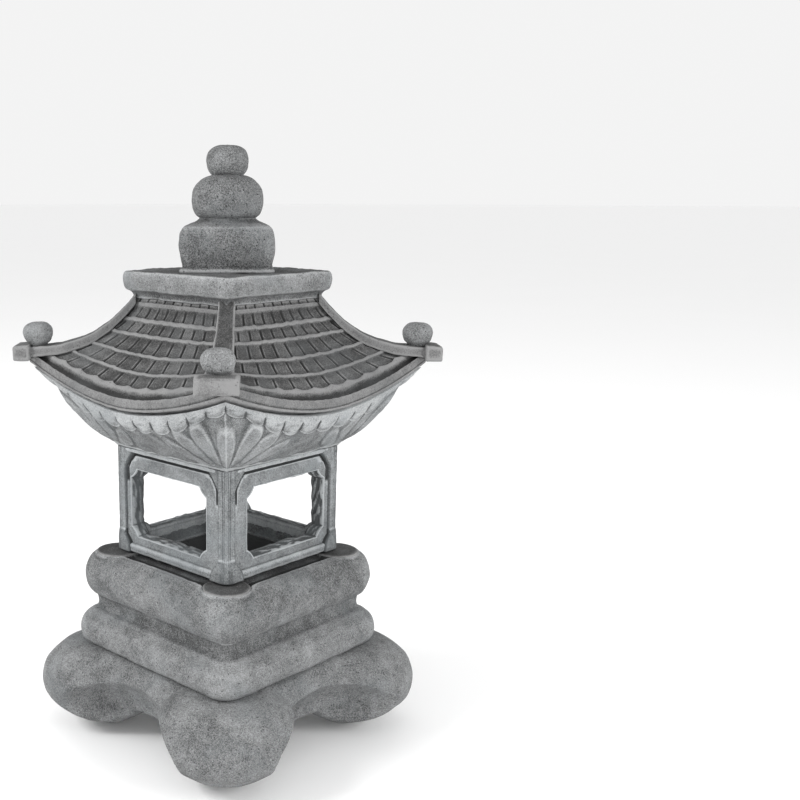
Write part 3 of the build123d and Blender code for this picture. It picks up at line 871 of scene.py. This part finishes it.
def spun(outline, columns=96, step=0.6, wobble=0.0, seed=0):
    """Solid turned about the upright axis, its outline running from the bottom centre to the top centre."""
    profile = fair_profile(outline, step, 1)
    swing = np.linspace(0, 2 * math.pi, columns, endpoint=False)
    uneven = 1 + wobble * (np.sin(2 * swing + seed) + 0.6 * np.sin(3 * swing + 2 * seed))
    rows = []
    for radius, height in profile:
        x, y = radius * uneven * np.cos(swing), radius * uneven * np.sin(swing)
        rows.append(np.column_stack([x, y, np.full(columns, height)]))
    faces = grid_faces(len(rows), columns, True) + end_caps(len(rows), columns)
    return np.concatenate(rows), faces


def ridge_knob(number, turn):
    """Flattened ball near the end of a hip ridge."""
    outline = curve_through([
        (5.0, 291.6), (6.6, 293.6), (9.2, 296.2), (10.6, 300.4), (10.2, 304.0), (8.0, 307.0),
        (4.6, 308.5), (0.3, 308.7),
    ], 0.6)
    points, faces = spun(np.vstack([[(0.3, 291.6)], outline]), 80, 0.5, 0.012, number * 1.7)
    points[:, 0] += KNOB_REACH
    placed = turned(lean(points, number), turn + 45)
    obj = solid_object(f"knob_{number}", placed, faces, "roof", [f"ridge_knob_{number}"], "pitted_stone")
    weather(obj, depth=0.3, size=5.0, seed=110 + number)


def cap_slab():
    """Cap slab with a cove under its edge."""
    side = curve_through([(47.2, 326.0), (47.5, 328.4), (49.2, 330.6), (52.2, 331.9)])
    face = curve_through([(52.8, 332.4), (54.0, 335.5), (54.5, 339.5), (54.2, 342.5), (53.4, CAP_TOP - 0.6)])
    whole = np.vstack([[(20.0, 326.0)], side, face, [(52.4, CAP_TOP), (1.0, CAP_TOP)]])
    points, faces = square_solid(fair_profile(whole, 0.8, 1), 46.5, straight=100, bend=16)
    tone = np.where(points[:, 2] > CAP_TOP - 0.3, -0.9, 0.15)
    obj = solid_object("cap_block", points, faces, "roof", ["cap_slab"], "pitted_stone", tone)
    weather(obj, depth=0.55, size=12.0, seed=121, chips=0.8)


def finial_block():
    """Finial block, turned an eighth of a turn: a thin flange, swelling sides and a sloping top."""
    rim = [(10.0, CAP_TOP), (32.2, CAP_TOP), (32.6, 346.2), (32.0, 347.4)]
    side = curve_through([
        (30.2, 348.4), (30.8, 351.5), (32.0, 357.0), (32.6, 364.0), (31.8, 371.0), (30.3, 374.6),
    ])
    top = curve_through([(29.4, 375.6), (27.2, 376.6), (24.5, 377.8), (21.3, 379.3), (19.2, BLOCK_TOP + 0.6)])
    profile = fair_profile(np.vstack([rim, side, top, [(10.0, BLOCK_TOP + 0.6)]]), 0.7, 1)
    points, faces = square_solid(profile, 26.0, straight=70, bend=14)
    round_share = smooth_step(points[:, 2], 374.8, 380.0)[:, None]
    half = np.repeat(profile[:, 0], len(points) // len(profile))[:, None]
    flat = points[:, :2]
    disc = half * flat / np.linalg.norm(flat, axis=1)[:, None]
    points[:, :2] = flat + (disc - flat) * round_share
    # painted highlight on the flange
    tone = np.where(points[:, 2] < 347.0, 0.5, 0.0)
    obj = solid_object("finial_base", turned(points, 45), faces, "finial", ["finial_block"],
                       "pitted_stone", tone)
    weather(obj, depth=0.35, size=7.0, seed=131, chips=0.6)


def finial_jewel():
    """Round jewel on the block."""
    outline = curve_through([
        (19.3, BLOCK_TOP), (22.6, 383.4), (24.5, 387.6), (25.1, 392.8), (24.5, 397.8), (22.2, 402.8),
        (18.0, 406.9), (13.6, 409.0), (10.9, JEWEL_TOP + 0.2),
    ], 0.7)
    whole = np.vstack([[(0.3, BLOCK_TOP)], outline, [(0.3, JEWEL_TOP + 0.2)]])
    points, faces = spun(whole, 128, 0.6, 0.004, 2.0)
    obj = solid_object("jewel", points, faces, "finial", ["finial_jewel"], "pitted_stone")
    weather(obj, depth=0.4, size=8.0, seed=141)


def finial_ball():
    """Ball at the top."""
    outline = curve_through([
        (10.6, JEWEL_TOP), (12.9, 412.2), (14.3, 415.9), (14.6, 420.0), (13.7, 424.0), (11.4, 427.2),
        (7.6, 429.3), (3.0, BALL_TOP), (0.3, BALL_TOP + 0.1),
    ], 0.6)
    points, faces = spun(np.vstack([[(0.3, JEWEL_TOP)], outline]), 100, 0.5, 0.006, 4.0)
    obj = solid_object("ball", points, faces, "finial", ["finial_ball"], "pitted_stone")
    weather(obj, depth=0.35, size=6.0, seed=151)


# ---------------------------------------------------------------- candle, plate, rod and dowels

def tea_light():
    """Tea light: a crimped foil cup with a rolled rim, dished wax and a charred, bent wick."""
    low, high = level("candle_cup", 0), level("candle_cup", 1)
    outline = [
        (0.3, low + 0.2), (16.5, low + 0.2), (18.6, low), (18.9, low + 0.6), (18.8, high - 1.0),
        (19.0, high - 0.5), (18.8, high), (18.4, high - 0.2), (18.3, high - 1.0), (18.2, low + 0.7),
        (0.3, low + 0.7),
    ]
    points, faces = spun(outline, 240, 0.4)
    swing = np.arctan2(points[:, 1], points[:, 0])
    radius = np.hypot(points[:, 0], points[:, 1])
    crimp = 0.14 * np.sin(swing * 60) * (radius > 17.8) * smooth_step(points[:, 2], low + 1, low + 3)
    points[:, :2] *= (1 + crimp / np.maximum(radius, 1))[:, None]
    solid_object("foil_cup", points, faces, "candle", ["candle_cup"], "cup_aluminium")
    top = level("candle_wax", 1)
    outline = [(0.3, low + 0.8), (18.0, low + 0.8), (18.15, top), (17.4, top - 0.4), (12.0, top - 1.0)]
    outline += [(4.0, top - 1.4), (1.6, top - 1.0), (0.3, top - 0.9)]
    points, faces = spun(outline, 128, 0.5)
    solid_object("wax_fill", points, faces, "candle", ["candle_wax"], "wax")
    tip = level("candle_wick", 1)
    outline = [(0.2, low + 2.0), (0.75, low + 2.0), (0.8, tip - 1.5), (0.55, tip - 0.2), (0.2, tip)]
    points, faces = spun(outline, 20, 0.4)
    swing = np.arctan2(points[:, 1], points[:, 0])
    points[:, :2] *= (1 + 0.12 * np.sin(2 * swing + points[:, 2] * 3.2))[:, None]
    points[:, 0] += 0.9 * smooth_step(points[:, 2], top, tip + 1) ** 2
    solid_object("wick_braid", points, faces, "candle", ["candle_wick"], "wick")


def plate_and_metal():
    """Pieces that show only when the lantern is taken apart: candle plate, rod and dowels."""
    low, high = level("candle_plate", 0), level("candle_plate", 1)
    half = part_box("candle_plate")[1][0] / MM
    outline = [(0.5, low), (half - 1.0, low), (half, low + 1.0)]
    outline += [(half, high - 1.0), (half - 1.0, high), (0.5, high)]
    points, faces = square_solid(fair_profile(outline, 0.9, 1), half - 9.0, straight=50, bend=16)
    plate = solid_object("plate", points, faces, "pedestal", ["candle_plate"], "pitted_stone")
    weather(plate, depth=0.15, size=7.0, seed=161)
    low, high = level("finial_rod", 0), level("finial_rod", 1)
    outline = [(0.2, low), (2.4, low), (3.0, low + 0.8), (3.0, high - 0.8), (2.4, high), (0.2, high)]
    points, faces = spun(outline, 48, 0.35)
    pitch = 1.5
    phase = points[:, 2] * 2 * math.pi / pitch - np.arctan2(points[:, 1], points[:, 0])
    points[:, :2] *= (1 - 0.045 * (0.5 + 0.5 * np.sin(phase)))[:, None]
    solid_object("threaded_rod", points, faces, "finial", ["finial_rod"], "dowel_bronze")
    pins = []
    for joint in (FOOT_TOP, STEP_TOP):
        low, high = joint - 10, joint + 10
        outline = [(0.2, low), (2.4, low), (2.95, low + 0.8), (2.95, high - 0.8), (2.4, high), (0.2, high)]
        points, faces = spun(outline, 32, 0.8)
        for x in (-59, 59):
            for y in (-59, 59):
                pins.append((points + (x, y, 0), faces))
    points, faces = join(pins)
    solid_object("dowel_pins", points, faces, "pedestal", ["base_dowels"], "dowel_bronze")


# ---------------------------------------------------------------- finishes

class Shade:
    """A material with its shader, and short ways to add and join nodes."""

    def __init__(self, name, roughness, metallic=0.0):
        self.material = bpy.data.materials.new(name)
        self.material.use_nodes = True
        self.tree = self.material.node_tree
        self.shader = self.tree.nodes["Principled BSDF"]
        self.shader.inputs["Roughness"].default_value = roughness
        self.shader.inputs["Metallic"].default_value = metallic
        self.place = self.tree.nodes.new("ShaderNodeTexCoord").outputs["Object"]

    def node(self, kind, inputs=None, **settings):
        made = self.tree.nodes.new(kind)
        for key, value in settings.items():
            setattr(made, key, value)
        for key, value in (inputs or {}).items():
            if isinstance(value, bpy.types.NodeSocket):
                self.tree.links.new(value, made.inputs[key])
            else:
                made.inputs[key].default_value = value
        return made

    def noise(self, size, detail=3.0, roughness=0.6, distortion=0.0, shift=0.0):
        """Noise with features of about size millimetres."""
        place = self.place
        if shift:
            away = (shift, shift * 2, shift * 3)
            place = self.node("ShaderNodeVectorMath", {0: self.place, 1: away}, operation="ADD").outputs[0]
        made = self.node("ShaderNodeTexNoise", {"Vector": place, "Scale": 1 / (size * MM), "Detail": detail,
                                                "Roughness": roughness, "Distortion": distortion})
        return made.outputs["Fac"]

    def pits(self, size, low, high):
        """0 inside scattered small pits, 1 elsewhere."""
        inputs = {"Vector": self.place, "Scale": 1 / (size * MM), "Randomness": 1.0}
        made = self.node("ShaderNodeTexVoronoi", inputs)
        return self.steps(made.outputs["Distance"], low, high)

    def steps(self, value, low, high, start=0.0, end=1.0):
        """Value mapped from low..high to start..end, smoothly and clamped."""
        inputs = {"Value": value, "From Min": low, "From Max": high, "To Min": start, "To Max": end}
        made = self.node("ShaderNodeMapRange", inputs, interpolation_type="SMOOTHSTEP")
        return made.outputs["Result"]

    def sum(self, first, second, gain=1.0):
        made = self.node("ShaderNodeMath", {0: second, 1: gain, 2: first}, operation="MULTIPLY_ADD")
        return made.outputs[0]

    def mix(self, share, first, second, kind="MIX"):
        made = self.node("ShaderNodeMix", data_type="RGBA", blend_type=kind)
        for index, value in ((0, share), (6, first), (7, second)):
            if isinstance(value, bpy.types.NodeSocket):
                self.tree.links.new(value, made.inputs[index])
            else:
                made.inputs[index].default_value = value
        return made.outputs[2]

    def attribute(self, name):
        return self.node("ShaderNodeAttribute", attribute_name=name).outputs["Fac"]

    def bump(self, height, depth, under=None):
        """Surface relief of depth millimetres."""
        inputs = {"Height": height, "Distance": depth * MM, "Strength": 1.0}
        if under:
            inputs["Normal"] = under
        return self.node("ShaderNodeBump", inputs).outputs["Normal"]

    def done(self, colour, normal):
        self.tree.links.new(colour, self.shader.inputs["Base Color"])
        self.tree.links.new(normal, self.shader.inputs["Normal"])
        return self.material


def grey(value, warm=0.0):
    """A grey, pushed to yellow by warm or to blue-green by a negative warm."""
    return (value * (1 + warm), value * (1 + 0.35 * abs(warm)), value * (1 - warm), 1)


def stone(name, dark, light, warm, speckle, worn, pit, relief):
    """Mottled stone: clouded grey, pale worn arrises, speckles and pits, with the painted light and shade of
    the light attribute and painted shade where that is darkest.
    """
    shade = Shade(name, 0.86)
    broad = shade.noise(30.0, 4.0, 0.6, 0.4)
    middle = shade.noise(8.0, 4.0, 0.65, 0.2, 0.31)
    fine = shade.noise(1.1, 3.0, 0.75, 0.0, 0.57)
    grain = shade.noise(0.45, 2.0, 0.6, 0.0, 0.83)
    tone = shade.sum(shade.steps(broad, 0.3, 0.7, -0.11, 0.11), shade.steps(middle, 0.3, 0.72, -0.10, 0.10))
    tone = shade.sum(tone, shade.steps(fine, 0.32, 0.7, -0.3, 0.3), speckle)
    tone = shade.sum(tone, shade.steps(grain, 0.36, 0.64, -0.3, 0.3), speckle)
    tone = shade.sum(tone, shade.steps(shade.attribute("wear"), -0.15, 0.3, -0.33, 0.66), worn)
    # painted light and shade, given for each vertex in the light attribute
    tone = shade.sum(tone, shade.attribute("light"), 0.42)
    share = shade.node("ShaderNodeMath", {0: tone, 1: 0.4}, operation="ADD", use_clamp=True).outputs[0]
    colour = shade.mix(share, grey(dark, warm), grey(light, warm * 0.7))
    tint = shade.noise(42.0, 3.0, 0.5, 0.6, 1.7)
    greener = grey((dark + light) * 0.42, warm - 0.04)
    colour = shade.mix(shade.steps(tint, 0.45, 0.7, 0.0, 0.35), colour, greener)
    holes = shade.pits(2.6, 0.10, 0.32)
    sparse = shade.steps(shade.noise(5.0, 2.0, 0.5, 0.0, 2.3), 0.40, 0.60)
    deep = shade.sum(1.0, holes, -1.0)
    shown = shade.node("ShaderNodeMath", {0: deep, 1: sparse}, operation="MULTIPLY").outputs[0]
    colour = shade.mix(shade.steps(shown, 0.2, 0.9, 0.0, pit), colour, grey(dark * 0.4, warm))
    # painted shade: the parts with the darkest light values are taken much darker
    painted_shade = shade.steps(shade.sum(0.0, shade.attribute("light"), -1.0), 0.7, 2.0, 0.0, 0.85)
    colour = shade.mix(painted_shade, colour, grey(dark * 0.25, warm))
    height = shade.sum(shade.sum(fine, grain, 0.35), shown, -0.5 * pit)
    return shade.done(colour, shade.bump(height, relief))


def metal(name, colour, other, roughness):
    """Plain metal with fine scratches and a little tarnish."""
    shade = Shade(name, roughness, 1.0)
    tarnish = shade.steps(shade.noise(5.0, 4.0, 0.6), 0.4, 0.7)
    brushed = shade.noise(0.25, 2.0, 0.5)
    return shade.done(shade.mix(tarnish, colour, other), shade.bump(brushed, 0.03))


def soft_stuff(name, colour, other, roughness, size, relief, subsurface=0.0):
    """Wax or cotton: a faint mottle over a smooth body."""
    shade = Shade(name, roughness)
    shade.shader.inputs["Subsurface Weight"].default_value = subsurface
    shade.shader.inputs["Subsurface Radius"].default_value = (0.004, 0.003, 0.002)
    mottle = shade.noise(size, 4.0, 0.6)
    return shade.done(shade.mix(shade.steps(mottle, 0.35, 0.65), colour, other), shade.bump(mottle, relief))


FINISH = {
    "pitted_stone": stone("pitted stone", 0.04, 0.39, -0.022, 0.7, 0.6, 0.75, 0.8),
    "finial_stone": stone("finial stone", 0.022, 0.32, -0.022, 0.9, 0.6, 0.9, 0.95),
    "smooth_stone": stone("smooth stone", 0.065, 0.40, -0.045, 0.6, 0.9, 0.35, 0.28),
    "carved_stone": stone("carved stone", 0.065, 0.43, -0.03, 0.65, 0.8, 0.4, 0.35),
    "tile_stone": stone("tile stone", 0.020, 0.235, 0.0, 0.55, 0.6, 0.4, 0.4),
    "dowel_bronze": metal("bronze", (0.46, 0.30, 0.14, 1), (0.26, 0.19, 0.11, 1), 0.42),
    "cup_aluminium": metal("foil", (0.80, 0.80, 0.80, 1), (0.68, 0.69, 0.70, 1), 0.28),
    "wax": soft_stuff("wax", (0.90, 0.88, 0.82, 1), (0.84, 0.82, 0.75, 1), 0.45, 6.0, 0.08, 0.3),
    "wick": soft_stuff("wick", (0.80, 0.77, 0.70, 1), (0.25, 0.22, 0.19, 1), 0.9, 0.7, 0.2),
}


# ---------------------------------------------------------------- build

foot_stone()
step_stone()
cushion_stone()
sill_ring()
lintel_ring()
roof_stone()
soffit_stone()
cap_slab()
finial_block()
finial_jewel()
finial_ball()
tea_light()
plate_and_metal()
for number, turn in enumerate(TURNS, start=1):
    corner_pad(number, turn)
    corner_post(number, turn)
    window_panel(number, turn)
    hip_ridge(number, turn)
    ridge_knob(number, turn)

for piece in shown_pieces():
    darker = piece.name in ("finial_base", "jewel", "ball")
    piece.data.materials.append(FINISH["finial_stone" if darker else piece["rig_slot"]])


# ---------------------------------------------------------------- stage

def plain(name, colour, roughness):
    """A plain, faintly uneven surface for the floor."""
    shade = Shade(name, roughness)
    cloud = shade.noise(400.0, 2.0, 0.5)
    darker = tuple(part * 0.985 for part in colour[:3]) + (1,)
    return shade.done(shade.mix(cloud, colour, darker), shade.bump(shade.noise(3.0, 2.0, 0.5), 0.02))


mesh = bpy.data.meshes.new("floor")
mesh.from_pydata([(-60, -60, 0), (60, -60, 0), (60, 60, 0), (-60, 60, 0)], [], [(0, 1, 2, 3)])
floor = bpy.data.objects.new("floor", mesh)
bpy.context.scene.collection.objects.link(floor)
mesh.materials.append(plain("floor", (0.97, 0.97, 0.97, 1), 0.8))

world = bpy.data.worlds.new("studio")
bpy.context.scene.world = world
world.use_nodes = True
world.node_tree.nodes["Background"].inputs["Color"].default_value = (1.0, 1.0, 1.0, 1)
world.node_tree.nodes["Background"].inputs["Strength"].default_value = 0.9
bpy.context.scene.view_settings.view_transform = "Standard"


def soft_light(name, place, target, size, power):
    """A large square lamp that faces a point."""
    lamp = bpy.data.lights.new(name, "AREA")
    lamp.size = size
    lamp.energy = power
    obj = bpy.data.objects.new(name, lamp)
    aim = np.array(target) - np.array(place)
    flat = math.hypot(aim[0], aim[1])
    obj.location = place
    obj.rotation_euler = (math.atan2(flat, -aim[2]), 0, math.atan2(-aim[0], aim[1]))
    bpy.context.scene.collection.objects.link(obj)


middle = (0, 0, 0.22)
soft_light("key", (-0.7, -1.5, 1.5), middle, 0.7, 26)
soft_light("fill", (1.8, 0.3, 1.0), middle, 0.8, 16)
soft_light("front", (1.2, -1.2, 0.5), middle, 0.8, 5)

camera_data = bpy.data.cameras.new("camera")
camera_data.sensor_width = 36.0
camera_data.lens = 48.15
camera_data.shift_x = 0.2156
camera_data.shift_y = 0.079
camera = bpy.data.objects.new("camera", camera_data)
azimuth = math.radians(45.5)
camera.location = (0.764 * math.sin(azimuth), -0.764 * math.cos(azimuth), 0.394)
camera.rotation_euler = (math.radians(90 - 13.88), 0, azimuth)
bpy.context.scene.collection.objects.link(camera)
bpy.context.scene.camera = camera
